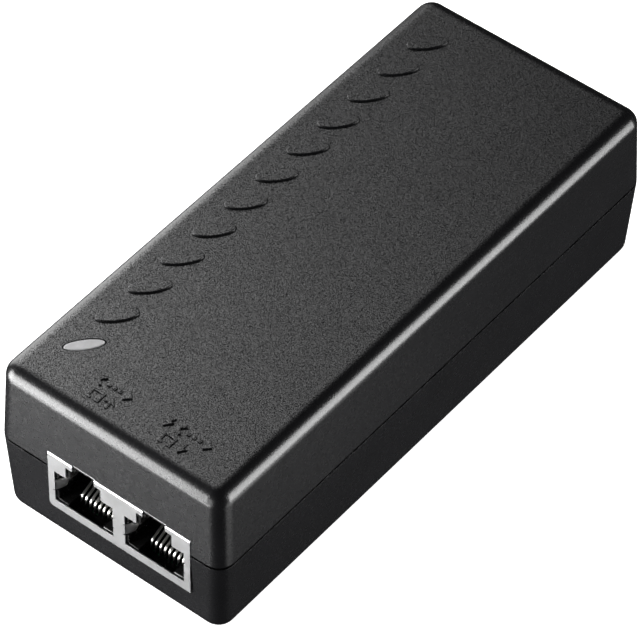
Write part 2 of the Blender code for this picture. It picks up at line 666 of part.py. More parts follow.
def ring_choke(core_mat, winding_mat):
    """A common-mode choke: an upright ring core with a copper winding on each side of it."""
    middle = PART_Z + CHOKE_Z
    turn = Matrix.Translation((*CHOKE, middle)) @ Matrix.Rotation(math.radians(90), 4, "X")
    ring("choke_core", *CHOKE_CORE, turn, core_mat)
    coil = ring("choke_winding", *CHOKE_WINDING, turn, winding_mat)
    cut(coil, ring("choke_core_space", *CHOKE_SPACE, turn))
    reach = CHOKE_WINDING[1] + 1 * MM
    split = box("choke_split", (CHOKE[0] - CHOKE_SPLIT, CHOKE[1] - reach, middle - reach),
                (CHOKE[0] + CHOKE_SPLIT, CHOKE[1] + reach, middle + 1 * MM))
    cut(coil, split)


def ring(name, inner, outer, depth, matrix, mat=None):
    """A flat ring about its own axis, made from a disc with a hole cut in it."""
    bm = bmesh.new()
    bmesh.ops.create_cone(bm, cap_ends=True, segments=24, radius1=outer, radius2=outer, depth=depth)
    made = from_bmesh(name, bm, mat)
    made.matrix_world = matrix
    bm = bmesh.new()
    bmesh.ops.create_cone(
        bm, cap_ends=True, segments=24, radius1=inner, radius2=inner, depth=2 * depth)
    hole = from_bmesh(name + "_hole", bm)
    hole.matrix_world = matrix
    cut(made, hole)
    return made


def around(centre, half_x, half_y, low, high):
    """Corners of a block around a point of the board; heights are above PART_Z."""
    x, y = centre
    return (x - half_x, y - half_y, PART_Z + low), (x + half_x, y + half_y, PART_Z + high)


def transformer(core_mat, winding_mat):
    """The power transformer: an E-shaped ferrite core around a wound bobbin."""
    x, y = TRANSFORMER
    past = 2 * CORE_HALF[1]
    core = soft_box("transformer_core", *around(TRANSFORMER, *CORE_HALF, *CORE_Z), CORE_EDGE, core_mat)
    for side in (-1, 1):
        place = (x + side * CORE_WINDOW_X, y)
        cut(core, box(f"core_window_{side}", *around(place, CORE_WINDOW_HALF, past, *CORE_WINDOW_Z)))
    bobbin = soft_box("transformer_bobbin", *around(TRANSFORMER, *BOBBIN_HALF, *BOBBIN_Z),
                      BOBBIN_EDGE, winding_mat)
    cut(bobbin, box("bobbin_bore", *around(TRANSFORMER, *BOBBIN_BORE, 0.0, 2 * BOBBIN_Z[1])))
    for side in (-1, 1):
        place = (x, y + side * BOBBIN_FOOT_Y)
        join(bobbin, box(f"bobbin_foot_{side}", *around(place, BOBBIN_FOOT_X, BOBBIN_FOOT_HALF,
                                                        0.0, BOBBIN_FOOT_TOP)))


def heat_sink(name, y, length, mat):
    """An upright aluminium plate with a foot along its outer side."""
    low, high = PART_Z, PART_Z + SINK_TOP
    inner, outer, toe = SINK_X - SINK_HALF, SINK_X + SINK_HALF, SINK_X + SINK_FOOT[0]
    step = low + SINK_FOOT[1]
    points = [(inner, low), (toe, low), (toe, step), (outer, step), (outer, high), (inner, high)]
    return outline(name, points, length, facing_front(y), mat)


def power_device(name, y, mat):
    """A three-lead power device: a moulded body with a thin tab above it and leads joined below."""
    face = SINK_X - SINK_HALF
    body = soft_box(name, (face - DEVICE_DEPTH, y - DEVICE_HALF, PART_Z + DEVICE_Z[0]),
                    (face - GAP, y + DEVICE_HALF, PART_Z + DEVICE_Z[1]), DEVICE_EDGE, mat)
    join(body, box(name + "_tab", (face - TAB_DEPTH, y - DEVICE_HALF, PART_Z + TAB_Z[0]),
                   (face - GAP, y + DEVICE_HALF, PART_Z + TAB_Z[1])))
    for number in (-1, 0, 1):
        lead_y = y + number * LEAD_PITCH
        join(body, box(f"{name}_lead_{number}", (face - LEAD_DEPTH[0], lead_y - LEAD_HALF, PART_Z),
                       (face - LEAD_DEPTH[1], lead_y + LEAD_HALF, PART_Z + LEAD_TOP)))
    return body


def disc_capacitor(mat):
    """An upright ceramic disc with rounded rims."""
    bm = bmesh.new()
    bmesh.ops.create_cone(bm, cap_ends=True, segments=20, radius1=DISC_R, radius2=DISC_R, depth=DISC_T)
    rims = [e for e in bm.edges if max(len(f.verts) for f in e.link_faces) > 4]
    bmesh.ops.bevel(bm, geom=rims, offset=DISC_EDGE, segments=2, affect="EDGES")
    place = Matrix.Translation((*DISC, PART_Z + DISC_R))
    upright = Matrix.Rotation(math.radians(90), 4, "Y")
    bmesh.ops.transform(bm, matrix=place @ upright, verts=bm.verts)
    return from_bmesh("y_capacitor", bm, mat)


def board_parts(mats):
    """Everything else that stands on the board, from the jacks back to the inlet."""
    for name, (low, high, height, edge, mat) in BLOCKS.items():
        soft_box(name, (low[0] * MM, low[1] * MM, PART_Z),
                 (high[0] * MM, high[1] * MM, PART_Z + height * MM), edge * MM, mats[mat])
    for name, (centre, radius, height) in CANS.items():
        standing_can(name, centre, radius, height, mats["can"])
    for name, (y, length) in SINKS.items():
        heat_sink(name, y, length, mats["aluminium"])
    for name, y in DEVICES.items():
        power_device(name, y, mats["moulding"])
    disc_capacitor(mats["ceramic"])


def main():
    mats = {
        "case_plastic": material("case_plastic", (0.035, 0.035, 0.037), 0.55),
        "lens": material("lens", (0.72, 0.73, 0.74), 0.25),
        "lamp": material("lamp", (0.15, 0.5, 0.2), 0.2),
        "shield_metal": material("shield_metal", (0.62, 0.62, 0.62), 0.35, 1.0),
        "jack_plastic": material("jack_plastic", (0.012, 0.012, 0.013), 0.4),
        "contact_metal": material("contact_metal", (0.83, 0.68, 0.38), 0.25, 1.0),
        "inlet_plastic": material("inlet_plastic", (0.015, 0.015, 0.016), 0.45),
        "pin_metal": material("pin_metal", (0.7, 0.68, 0.64), 0.3, 1.0),
        "board": material("board", (0.02, 0.16, 0.07), 0.5),
        "sheet": material("sheet", (0.7, 0.68, 0.6), 0.7),
        "can": material("can", (0.03, 0.03, 0.06), 0.35),
        "moulding": material("moulding", (0.02, 0.02, 0.02), 0.6),
        "aluminium": material("aluminium", (0.75, 0.75, 0.76), 0.35, 1.0),
        "ceramic": material("ceramic", (0.1, 0.3, 0.62), 0.5),
        "film_capacitor": material("film_capacitor", (0.72, 0.55, 0.08), 0.5),
        "fuse": material("fuse", (0.5, 0.36, 0.2), 0.5),
        "ferrite": material("ferrite", (0.06, 0.06, 0.065), 0.7),
        "winding": material("winding", (0.75, 0.6, 0.12), 0.5),
        "copper": material("copper", (0.72, 0.36, 0.16), 0.3, 1.0),
    }
    jack_hole, inlet_hole = jack_window(), inlet_window()
    upper_case(mats["case_plastic"], jack_hole, inlet_hole)
    lower_case(mats["case_plastic"], jack_hole, inlet_hole)
    insulating_sheet(mats["sheet"])
    main_board(mats["board"])
    led_light_pipe(mats["lens"])
    status_led(mats["lamp"])
    jack_shield(mats["shield_metal"])
    jack_housing(mats["jack_plastic"])
    contacts(mats["contact_metal"])
    inlet_body(mats["inlet_plastic"])
    inlet_pins(mats["pin_metal"])
    transformer(mats["ferrite"], mats["winding"])
    ring_choke(mats["ferrite"], mats["copper"])
    board_parts(mats)


clear_scene()
parts = collection(PARTS)
cutters = collection(CUTTERS)
main()
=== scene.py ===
import math

import bmesh
import bpy
from mathutils import Matrix, Vector


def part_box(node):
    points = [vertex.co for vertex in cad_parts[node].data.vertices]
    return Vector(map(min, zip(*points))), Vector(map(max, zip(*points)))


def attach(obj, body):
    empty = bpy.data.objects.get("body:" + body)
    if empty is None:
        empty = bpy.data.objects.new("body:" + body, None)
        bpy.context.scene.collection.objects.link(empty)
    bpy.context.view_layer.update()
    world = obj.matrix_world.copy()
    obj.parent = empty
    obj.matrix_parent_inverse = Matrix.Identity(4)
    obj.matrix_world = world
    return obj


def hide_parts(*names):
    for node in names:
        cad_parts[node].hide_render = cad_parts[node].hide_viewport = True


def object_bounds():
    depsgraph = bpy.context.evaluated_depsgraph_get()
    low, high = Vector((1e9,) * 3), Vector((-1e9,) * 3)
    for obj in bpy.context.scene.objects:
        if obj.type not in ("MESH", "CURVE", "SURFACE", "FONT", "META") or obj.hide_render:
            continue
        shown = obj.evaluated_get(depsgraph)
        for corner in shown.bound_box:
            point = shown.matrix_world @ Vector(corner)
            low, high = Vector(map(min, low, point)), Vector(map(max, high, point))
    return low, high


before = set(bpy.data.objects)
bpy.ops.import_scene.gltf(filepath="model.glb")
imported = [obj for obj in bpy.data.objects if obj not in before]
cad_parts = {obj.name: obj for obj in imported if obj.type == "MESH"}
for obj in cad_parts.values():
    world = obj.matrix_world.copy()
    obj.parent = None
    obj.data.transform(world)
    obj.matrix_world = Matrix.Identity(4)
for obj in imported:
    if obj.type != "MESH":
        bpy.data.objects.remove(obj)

cad_low, cad_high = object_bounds()

MM = 0.001
DETAIL_ANGLE = math.radians(32)
NEAR = 0.01 * MM        # how close a point lies to a plane to count as on it
PAST = 1 * MM           # how far a cutter runs past the face that it opens
FLAT_WEIGHT = 80        # how much the larger faces weigh in the normals

# ---------------------------------------------------------------- sizes read from the frame
FRONT_Y = cad_low.y
BACK_Y = cad_high.y
HALF_X = (cad_high.x - cad_low.x) / 2
HALF_Y = (cad_high.y - cad_low.y) / 2
OVAL_RISE = 0.4 * MM
TOP_Z = cad_high.z - OVAL_RISE
SHIELD_LOW, SHIELD_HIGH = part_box("jack_shield")
HOUSING_LOW, HOUSING_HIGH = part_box("jack_housing")
LENS_LOW, LENS_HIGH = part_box("led_light_pipe")
INLET_LOW, INLET_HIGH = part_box("inlet_body")
TONGUE_UP = 1.5 * MM
SEAM_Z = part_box("lower_case")[1].z - TONGUE_UP

LENS_CENTRE = ((LENS_LOW.x + LENS_HIGH.x) / 2, (LENS_LOW.y + LENS_HIGH.y) / 2)
PINS = ("line_pin", "neutral_pin", "earth_pin")

# ---------------------------------------------------------------- case
WALL = 2.0 * MM
ROOF_Z = TOP_Z - WALL
TOP_INSET = 0.72 * MM
BASE_INSET = 0.9 * MM
CORNER_R = 3.35 * MM
TOP_EDGE_R = 3.0 * MM
BASE_EDGE_R = 2.7 * MM
LEAST_R = 0.12 * MM     # the smallest corner radius of a shell's loop
TONGUE_OUT = 1.15 * MM
REBATE_OUT = 0.9 * MM
TONGUE_ROOM = 0.3 * MM
SEAM_HALF_GAP = 0.27 * MM
SEAM_ROUND = 0.015 * MM
WINDOW_GAP = 0.2 * MM
WINDOW_TOP_GAP = 0.35 * MM

# ---------------------------------------------------------------- raised ovals, lens and symbols
OVAL_TURN = math.radians(49.2)
OVAL_PITCH = 8.735 * MM
OVAL_COUNT = 11
OVAL_HALF = (4.0 * MM, 1.55 * MM)
OVAL_FOOT = 0.8 * MM
OVAL_EDGE = 0.18 * MM
LENS_HALF = (3.6 * MM, 1.1 * MM)
LENS_GAP = 0.3 * MM
LENS_RISE = 0.08 * MM
LENS_EDGE = 0.1 * MM
LENS_FOOT = 0.6 * MM            # below the roof, as the next two
FLANGE_SPAN = (1.3 * MM, 0.3 * MM)
PIPE_TOP = 1.0 * MM
FLANGE_OUT = 1.1 * MM
PIPE_R = 1.5 * MM
PIPE_FLARE = 0.4 * MM
SYMBOL_Y = -53.3 * MM
SYMBOL_FOOT = 0.5 * MM
SYMBOL_RISE = 0.34 * MM
SYMBOL_ROUND = 0.12 * MM
UPPER_ROW = SYMBOL_Y + 1.55 * MM
LOWER_ROW = SYMBOL_Y - 1.6 * MM
NETWORK_SHIFT = 1.7 * MM        # makes room for the bolt
BOLT_SHIFT = -3.7 * MM
SOCKET_SHIFT = -1.6 * MM
ARROW_SHIFT = 1.5 * MM

# Outlines in millimetres about each symbol's own middle
CHEVRON = [(3.9, 0.0), (2.65, 1.25), (2.2, 0.9), (3.05, 0.0), (2.2, -0.9), (2.65, -1.25)]
DOT = [(-0.32, -0.32), (0.32, -0.32), (0.32, 0.32), (-0.32, 0.32)]
DOT_PITCH = 1.2
BOLT = [(0.5, 1.35), (-0.8, -0.15), (-0.1, -0.2), (-0.55, -1.35), (0.8, 0.2), (0.1, 0.25)]
ARROW = [(-0.26, -1.25), (0.26, -1.25), (0.26, 0.1), (1.15, -0.2),
         (0.0, 1.3), (-1.15, -0.2), (-0.26, 0.1)]
SOCKET = [(-0.45, -1.15), (-1.35, -1.15), (-1.35, 1.15), (1.35, 1.15), (1.35, -1.15), (0.45, -1.15),
          (0.45, -0.75), (0.92, -0.75), (0.92, 0.75), (-0.92, 0.75), (-0.92, -0.75), (-0.45, -0.75)]

# ---------------------------------------------------------------- twin jack
PORT_W = 13.2 * MM
PORT_Z = (10.0 * MM, 17.5 * MM)
STEP_W = 7.9 * MM
STEP_TOP = 20.3 * MM
NOTCH_W = 5.0 * MM
NOTCH_DEPTH = 0.33 * MM
SHEET = 0.25 * MM
SHIELD_TOP_R = 0.45 * MM
SHIELD_SIDE_R = 0.9 * MM
SPRING_Z = (12.4 * MM, 15.0 * MM)
SPRING_IN = 0.75 * MM
SPRING_DEPTH = 3.0 * MM
SPRING_MARGIN = 0.12 * MM
SPRING_LAP = 0.15 * MM
SPRING_CROWN = 0.25 * MM
SPRING_CURL = 0.22 * MM
SPRING_THICK = 0.2 * MM
SPRING_REACH = 1.2 * MM         # farthest a spring's face lies from the window's edge
SPRING_START = 0.3 * MM
SLIT_HALF = (0.35 * MM, 0.13 * MM)
SLIT_DEPTH = 0.4 * MM
CAVITY_W = 12.3 * MM
CAVITY_Z = (10.15 * MM, 17.15 * MM)
LATCH_W = 6.6 * MM
LATCH_TOP = 20.1 * MM
LATCH_SLOT_W = 4.2 * MM
LATCH_SLOT_TOP = 21.0 * MM
CAVITY_DEPTH = 12.8 * MM
COMB_HALF = 3.95 * MM
MOUTH_OUT = 0.4 * MM
MOUTH_DEPTH = 0.5 * MM
MOUTH_FLOOR = 9.5 * MM
MOUTH_R = 0.3 * MM
WELL_FLOOR = 0.4 * MM
RELIEF_OUT = 0.75 * MM
RIB_HALF = 0.09 * MM
RIBS = (("front", 2.6, 4.8, 8.3, 9.45), ("rear", 10.2, 13.0, 9.0, 15.0))    # depths and heights, mm

# ---------------------------------------------------------------- contact wires
CONTACTS = 8
CONTACT_DEPTH = 3.4 * MM
BEND_R = 1.2 * MM
BEND_Z = 9.24 * MM
ARM_RISE = math.radians(25)
ARM_LENGTH = 7.2 * MM
WIRE_HALF = (0.24 * MM, 0.15 * MM)
WIRE_ROUND = 0.1 * MM
WIRE_HOOK = (0.3 * MM, 0.02 * MM)

# ---------------------------------------------------------------- mains inlet
INLET_WALL = 1.5 * MM
INLET_CAVITY_DEPTH = 17.0 * MM
INLET_CHAMFER = 5.0 * MM
INLET_OUTER_CHAMFER = 0.6 * MM
PIN_HEIGHT = 4 * MM
PIN_GAP = 0.12 * MM
PIN_HOLE_END = 10 * MM
PIN_TAIL = 1.2 * MM
PIN_TAPER = (0.9 * MM, 0.7 * MM)
COLLAR_HALF = 1.9 * MM
COLLAR_DEPTH = (0.5 * MM, 0.8 * MM)     # behind and in front of the cavity's back wall
COLLAR_Z = (4.9 * MM, 0.9 * MM)         # below and above the pin's top

# ---------------------------------------------------------------- materials
NOISE_TURN = (0.5, 0.3, 0.7)    # keeps flat faces off the noise's own lattice, where it is weak
TONE_LIFT = 1.35                # how much lighter a grained plastic's light patches are
MIX_FACTOR, MIX_FIRST, MIX_SECOND, MIX_RESULT = 0, 6, 7, 2      # the Mix node's colour sockets
SPECULAR = 0.5                  # the middle of the top's speckle
SPECKLE_RANGE = (0.41, 0.59)    # of the noise; narrow, so that the speckles are crisp
LEVEL_RANGE = (0.9, 0.99)       # normal's z where a face starts and ends turning level

# ---------------------------------------------------------------- camera and lights
VIEW_AZIMUTH = math.radians(37.94)
VIEW_ELEVATION = math.radians(47.35)
VIEW_ROLL = math.radians(1.05)
VIEW_DISTANCE = 0.7959
VIEW_TARGET = Vector((-0.293, -2.187, 16.438)) * MM
LENS_MM = 250.8
FLOOR_HALF = 3.0
FLOOR_CORNER = 1.0
FLOOR_THICK = 0.001
LIGHT_AIM = Vector((0, 0, 0.02))
# Azimuth and elevation in degrees, distance, width and height in metres, radiance
SOFTBOXES = {
    "front_band": (231.9, 1.2, 0.383, (0.256, 0.275), 15.2),
    "right_band": (26.5, 1.6, 1.3, (0.74, 0.941), 8.8),
    "left_band": (162.1, 22.7, 0.618, (0.381, 0.833), 3.1),
    "key": (148.6, 45.1, 1.3, (0.864, 1.344), 0.96),
    "floor_front": (247.6, -29.1, 0.732, (0.567, 0.102), 11.6),
    "front_side": (268.0, -2.0, 0.6, (0.25, 0.38), 3.2),
    "floor_right": (5.5, -27.2, 0.3, (0.23, 0.139), 1.6),
}


def port_centres():
    """The middle of each port, from its first and last contact wires."""
    centres = {}
    for name in ("in", "out"):
        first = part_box(f"contact_{name}_1")
        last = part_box(f"contact_{name}_{CONTACTS}")
        centres[name] = (first[0].x + last[1].x) / 2
    return centres


PORTS = port_centres()


# ================================================================ mesh tools

def new_object(name, data):
    made = bpy.data.objects.new(name, data)
    bpy.context.scene.collection.objects.link(made)
    return made


def from_bmesh(name, bm):
    bmesh.ops.recalc_face_normals(bm, faces=bm.faces)
    mesh = bpy.data.meshes.new(name)
    bm.to_mesh(mesh)
    bm.free()
    return new_object(name, mesh)


def settle(made):
    """Replaces an object's mesh with what its modifiers make of it."""
    graph = bpy.context.evaluated_depsgraph_get()
    graph.update()
    mesh = bpy.data.meshes.new_from_object(made.evaluated_get(graph))
    made.modifiers.clear()
    old = made.data
    made.data = mesh
    bpy.data.meshes.remove(old)
    return made


def combine(target, others, operation):
    """Applies one Boolean for each of the others and removes them."""
    for other in others:
        step = target.modifiers.new(other.name, "BOOLEAN")
        step.object = other
        step.operation = operation
        step.solver = "EXACT"
    settle(target)
    for other in others:
        bpy.data.objects.remove(other, do_unlink=True)


def cut(target, *others):
    combine(target, others, "DIFFERENCE")


def join(target, *others):
    combine(target, others, "UNION")


def smooth(made, weighted=True):
    """Smooth shading with creases, and flat faces that keep their own normals."""
    made.data.shade_smooth()
    made.data.set_sharp_from_angle(angle=DETAIL_ANGLE)
    if weighted:
        step = made.modifiers.new("flat_faces", "WEIGHTED_NORMAL")
        step.keep_sharp = True
        step.weight = FLAT_WEIGHT


def soften(made, width, segments, angle):
    """Small rounds along the sharp edges."""
    step = made.modifiers.new("soft_edges", "BEVEL")
    step.width = width
    step.segments = segments
    step.limit_method = "ANGLE"
    step.angle_limit = math.radians(angle)
    step.miter_outer = "MITER_ARC"
    settle(made)


def round_edges(made, picks):
    """Rounds chosen edges: each pick is (test for both ends, radius, segments)."""
    bm = bmesh.new()
    bm.from_mesh(made.data)
    for test, radius, segments in picks:
        edges = [e for e in bm.edges if all(test(v.co) for v in e.verts)]
        bmesh.ops.bevel(bm, geom=edges, offset=radius, segments=segments, profile=0.5,
                        affect="EDGES", clamp_overlap=True)
    bm.to_mesh(made.data)
    bm.free()


def box(name, low, high):
    bm = bmesh.new()
    bmesh.ops.create_cube(bm, size=1.0)
    low, high = Vector(low), Vector(high)
    bmesh.ops.scale(bm, vec=high - low, verts=bm.verts)
    bmesh.ops.translate(bm, vec=(high + low) / 2, verts=bm.verts)
    return from_bmesh(name, bm)


def prism(name, points, low, high, place):
    """A flat outline pulled from low to high; place turns (u, v, height) into a point."""
    bm = bmesh.new()
    start = [bm.verts.new(place(u, v, low)) for u, v in points]
    end = [bm.verts.new(place(u, v, high)) for u, v in points]
    bm.faces.new(start)
    bm.faces.new(end)
    for i in range(len(points)):
        j = (i + 1) % len(points)
        bm.faces.new((start[i], start[j], end[j], end[i]))
    return from_bmesh(name, bm)


def along_y(u, v, height):
    return (u, height, v)


def along_z(u, v, height):
    return (u, v, height)


def along_x(u, v, height):
    return (height, u, v)


def loft(name, loops):
    """Skins a stack of equal loops and closes its two ends."""
    bm = bmesh.new()
    rings = [[bm.verts.new(p) for p in loop] for loop in loops]
    for lower, upper in zip(rings, rings[1:]):
        for i in range(len(lower)):
            j = (i + 1) % len(lower)
            bm.faces.new((lower[i], lower[j], upper[j], upper[i]))
    bm.faces.new(rings[0])
    bm.faces.new(rings[-1])
    return from_bmesh(name, bm)


def rounded_rectangle(half_x, half_y, radius, z, steps=10):
    """A level loop with round corners."""
    points = []
    for number, (sx, sy) in enumerate(((1, 1), (-1, 1), (-1, -1), (1, -1))):
        centre = (sx * (half_x - radius), sy * (half_y - radius))
        for i in range(steps + 1):
            angle = math.pi / 2 * (number + i / steps)
            points.append((centre[0] + radius * math.cos(angle),
                           centre[1] + radius * math.sin(angle), z))
    return points


def oval_loop(centre, half, z, steps=48):
    """A level oval, turned the way the row of ovals lies."""
    turn = Matrix.Rotation(OVAL_TURN, 2)
    points = []
    for i in range(steps):
        angle = 2 * math.pi * i / steps
        p = turn @ Vector((half[0] * math.cos(angle), half[1] * math.sin(angle)))
        points.append((centre[0] + p.x, centre[1] + p.y, z))
    return points


def arc_steps(count):
    return [i / count for i in range(count + 1)]


# ================================================================ materials

def add_node(mat, kind, **settings):
    made = mat.node_tree.nodes.new(kind)
    for key, value in settings.items():
        if key in made.inputs:
            made.inputs[key].default_value = value
        else:
            setattr(made, key, value)
    return made


def base_material(name, colour, roughness, metallic=0.0):
    mat = bpy.data.materials.new(name)
    mat.use_nodes = True
    shader = mat.node_tree.nodes["Principled BSDF"]
    shader.inputs["Base Color"].default_value = (*colour, 1.0)
    shader.inputs["Roughness"].default_value = roughness
    shader.inputs["Metallic"].default_value = metallic
    return mat, shader


def noise(mat, size, detail=2.0, stretch=(1, 1, 1), rough=0.5):
    """Noise with features about this size in metres, in the object's own space."""
    links = mat.node_tree.links
    place = add_node(mat, "ShaderNodeTexCoord")
    mapping = add_node(mat, "ShaderNodeMapping")
    mapping.inputs["Scale"].default_value = stretch
    mapping.inputs["Rotation"].default_value = NOISE_TURN
    texture = add_node(mat, "ShaderNodeTexNoise", Scale=1.0 / size, Detail=detail, Roughness=rough)
    links.new(place.outputs["Object"], mapping.inputs["Vector"])
    links.new(mapping.outputs["Vector"], texture.inputs["Vector"])
    return texture.outputs["Fac"]


def spread(mat, value, low, high, start=0.3, end=0.7):
    """Maps a texture's middle range onto low to high."""
    node = add_node(mat, "ShaderNodeMapRange")
    node.inputs["From Min"].default_value = start
    node.inputs["From Max"].default_value = end
    node.inputs["To Min"].default_value = low
    node.inputs["To Max"].default_value = high
    mat.node_tree.links.new(value, node.inputs["Value"])
    return node.outputs["Result"]


def blend_colours(mat, value, first, second):
    node = add_node(mat, "ShaderNodeMix", data_type="RGBA")
    node.inputs[MIX_FIRST].default_value = (*first, 1.0)
    node.inputs[MIX_SECOND].default_value = (*second, 1.0)
    mat.node_tree.links.new(value, node.inputs[MIX_FACTOR])
    return node.outputs[MIX_RESULT]


def bump(mat, shader, height, depth, under=None):
    """Relief of this depth from a texture; a second one may lie over the first."""
    node = add_node(mat, "ShaderNodeBump")
    node.inputs["Strength"].default_value = 1.0
    node.inputs["Distance"].default_value = depth
    mat.node_tree.links.new(height, node.inputs["Height"])
    if under is not None:
        mat.node_tree.links.new(under, node.inputs["Normal"])
    mat.node_tree.links.new(node.outputs["Normal"], shader.inputs["Normal"])
    return node.outputs["Normal"]


def grained_plastic(name, colour, roughness, grain, depth=0.012 * MM):
    """Moulded plastic with a fine spark-eroded grain and faint tone changes."""
    mat, shader = base_material(name, colour, roughness)
    tone = spread(mat, noise(mat, 9 * MM, 3.0), 0.0, 1.0)
    lighter = tuple(min(c * TONE_LIFT, 1.0) for c in colour)
    links = mat.node_tree.links
    links.new(blend_colours(mat, tone, colour, lighter), shader.inputs["Base Color"])
    patches = spread(mat, noise(mat, 0.8 * MM, 2.0), roughness - 0.008, roughness + 0.008)
    links.new(patches, shader.inputs["Roughness"])
    coarse = bump(mat, shader, noise(mat, grain, 2.0, rough=0.6), depth)
    bump(mat, shader, noise(mat, grain / 3.2, 1.0), depth / 3, under=coarse)
    return mat, shader


def leather_top(mat, shader, size, calm, strong):
    """Makes the level faces sparkle with a leather-like speckle; steep faces stay calmer."""
    links = mat.node_tree.links
    facing = add_node(mat, "ShaderNodeNewGeometry")
    parts = add_node(mat, "ShaderNodeSeparateXYZ")
    links.new(facing.outputs["Normal"], parts.inputs[0])
    reach = spread(mat, parts.outputs["Z"], calm, strong, *LEVEL_RANGE)
    lowest = add_node(mat, "ShaderNodeMath", operation="SUBTRACT")
    lowest.inputs[0].default_value = SPECULAR
    highest = add_node(mat, "ShaderNodeMath", operation="ADD")
    highest.inputs[0].default_value = SPECULAR
    links.new(reach, lowest.inputs[1])
    links.new(reach, highest.inputs[1])
    level = add_node(mat, "ShaderNodeMapRange")
    level.inputs["From Min"].default_value, level.inputs["From Max"].default_value = SPECKLE_RANGE
    links.new(noise(mat, size, 1.0), level.inputs["Value"])
    links.new(lowest.outputs[0], level.inputs["To Min"])
    links.new(highest.outputs[0], level.inputs["To Max"])
    links.new(level.outputs["Result"], shader.inputs["Specular IOR Level"])
    return mat


def smooth_plastic(name, colour, roughness):
    """Polished or lightly textured moulding for small parts."""
    mat, shader = base_material(name, colour, roughness)
    links = mat.node_tree.links
    links.new(spread(mat, noise(mat, 1.2 * MM, 3.0), roughness - 0.05, roughness + 0.08),
              shader.inputs["Roughness"])
    lighter = tuple(min(c * 1.5 + 0.002, 1.0) for c in colour)
    links.new(blend_colours(mat, spread(mat, noise(mat, 4 * MM), 0.0, 1.0), colour, lighter),
              shader.inputs["Base Color"])
    bump(mat, shader, noise(mat, 0.35 * MM, 2.0), 0.003 * MM)
    return mat


def satin_metal(name, colour, roughness, grain_along, depth=0.0015 * MM):
    """Plated sheet or wire: slight cloudiness, and fine lines where grain_along stretches them."""
    mat, shader = base_material(name, colour, roughness, 1.0)
    links = mat.node_tree.links
    darker = tuple(c * 0.86 for c in colour)
    links.new(blend_colours(mat, spread(mat, noise(mat, 2.5 * MM, 4.0), 0.0, 1.0), darker, colour),
              shader.inputs["Base Color"])
    lines = noise(mat, 0.3 * MM, 3.0, stretch=grain_along)
    links.new(spread(mat, lines, roughness - 0.02, roughness + 0.02), shader.inputs["Roughness"])
    bump(mat, shader, lines, depth)
    return mat


def milky_lens(name, colour):
    """Diffusing plastic that spreads the light that enters it."""
    mat, shader = base_material(name, colour, 0.3)
    links = mat.node_tree.links
    shader.inputs["Subsurface Weight"].default_value = 0.35
    shader.inputs["Subsurface Radius"].default_value = (0.8, 0.8, 0.8)
    shader.inputs["Subsurface Scale"].default_value = 0.0012
    shader.inputs["Coat Weight"].default_value = 0.2
    shader.inputs["Coat Roughness"].default_value = 0.2
    darker = tuple(c * 0.88 for c in colour)
    links.new(blend_colours(mat, spread(mat, noise(mat, 1.5 * MM, 2.0), 0.0, 1.0), darker, colour),
              shader.inputs["Base Color"])
    bump(mat, shader, noise(mat, 0.5 * MM, 2.0), 0.004 * MM)
    return mat


def board_laminate(name):
    """Green solder mask over woven glass, with a faint weave."""
    mat, shader = base_material(name, (0.015, 0.13, 0.05), 0.4)
    links = mat.node_tree.links
    place = add_node(mat, "ShaderNodeTexCoord")
    weave = add_node(mat, "ShaderNodeTexWave", Scale=900.0, Distortion=0.6)
    links.new(place.outputs["Object"], weave.inputs["Vector"])
    links.new(blend_colours(mat, spread(mat, noise(mat, 3 * MM, 3.0), 0.0, 1.0),
                            (0.012, 0.11, 0.04), (0.02, 0.17, 0.07)), shader.inputs["Base Color"])
    bump(mat, shader, weave.outputs["Fac"], 0.004 * MM)
    return mat


def painted_seam_shade():
    """Painted shade for the faces inside the seam: a near-black, barely reflecting material that
    darkens the gap.
    """
    mat, shader = base_material("painted_seam_shade", (0.0015, 0.0015, 0.0015), 0.9)
    links = mat.node_tree.links
    links.new(spread(mat, noise(mat, 0.4 * MM), 0.0, 0.06), shader.inputs["Specular IOR Level"])
    return mat


def set_material(made, mat):
    made.data.materials.clear()
    made.data.materials.append(mat)


# ================================================================ case

def side_profile(z_seam, z_far, inset, radius, steps=14):
    """Outer side of a shell, from just off its seam to the flat face.

    Each point is (inward offset, loss of corner radius, z).
    """
    way = 1.0 if z_far > z_seam else -1.0
    height = abs(z_far - z_seam)
    lean = math.atan2(inset, height)
    start_up = height - radius + radius * math.sin(lean)
    start_in = inset * start_up / height
    centre_in = start_in + radius * math.cos(lean)
    points = []
    for share in (0.012, 0.35, 0.7, 0.97):
        points.append((start_in * share, 0.0, z_seam + way * start_up * share))
    for share in arc_steps(steps):
        angle = lean + (math.pi / 2 - lean) * share
        offset = centre_in - radius * math.cos(angle)
        points.append((offset, offset - start_in,
                       z_seam + way * (height - radius + radius * math.sin(angle))))
    last = points[-1]
    points.append((last[0] + 0.25 * MM, last[1] + 0.2 * MM, last[2]))
    return points


def shell_loops(profile):
    """A level loop for each point of a shell's profile."""
    loops = []
    for offset, radius_loss, z in profile:
        radius = max(CORNER_R - radius_loss, LEAST_R)
        loops.append(rounded_rectangle(HALF_X - offset, HALF_Y - offset, radius, z))
    return loops


def seam_edge(z_edge, way, inner_offset):
    """The small round at the seam and the land inside it."""
    points = [(inner_offset, inner_offset, z_edge)]
    for share in arc_steps(4):
        angle = math.pi / 2 * (1 - share)
        points.append((SEAM_ROUND * (1 - math.cos(angle)), 0.0,
                       z_edge + way * SEAM_ROUND * (1 - math.sin(angle))))
    return points


def shade_seam(shell, dark):
    """Gives the level faces inside the seam the painted-shade material, which darkens the gap."""
    shell.data.materials.append(dark)
    for face in shell.data.polygons:
        off_seam = abs(abs(face.center.z - SEAM_Z) - SEAM_HALF_GAP)
        if off_seam < 0.002 * MM and abs(face.normal.z) > 0.99:
            face.material_index = 1


